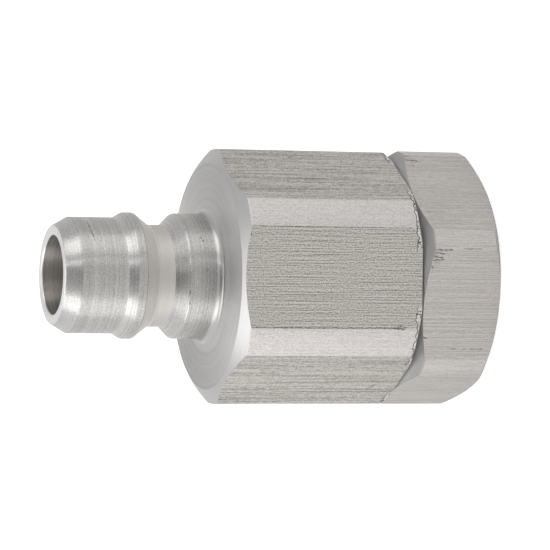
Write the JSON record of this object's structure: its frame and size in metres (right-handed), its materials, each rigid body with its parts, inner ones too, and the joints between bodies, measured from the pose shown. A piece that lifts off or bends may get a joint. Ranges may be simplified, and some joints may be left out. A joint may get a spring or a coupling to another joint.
{
  "type": "hydraulic quick coupler plug",
  "caption": "Valved plug half of a hydraulic quick coupler: bored nose with lead-in cone, locking ridge and ball groove, large hexagon body and a hexagon port adapter.",
  "frame": {"origin": "centre of the port end face, on which the part stands", "axes": "+Z along the axis from the pipe port to the nose; one flat of the large hexagon faces -Y"},
  "size_m": [0.0524, 0.0518, 0.0878],
  "materials": {
    "stainless_body": "turned nose and drawn hexagon flats, matte",
    "stainless_adapter": "drawn hexagon flats, matte",
    "stainless_turned": "fine turned",
    "spring_steel": "drawn wire, slightly bright",
    "nitrile": "moulded, satin",
    "ptfe": "waxy",
    "bronze": "turned bearing bronze"
  },
  "bodies": {
    "coupler": {"plug_body": "stainless_body", "port_adapter": "stainless_adapter", "joint_o_ring": "nitrile", "joint_backup_ring": "ptfe", "valve_spring": "spring_steel", "valve_guide": "stainless_turned", "guide_bush": "bronze", "guide_retaining_ring": "spring_steel"},
    "valve": {"valve_poppet": "stainless_turned", "poppet_seal": "nitrile", "seal_retainer": "stainless_turned"}
  },
  "joints": [
    {"name": "valve_slide", "type": "slide", "parent": "coupler", "child": "valve", "axis": [0, 0, -1], "range_m": [0, 0.007], "stiffness_N_per_m": 2500, "springref_m": -0.006, "deforming": ["valve_spring"]}
  ]
}
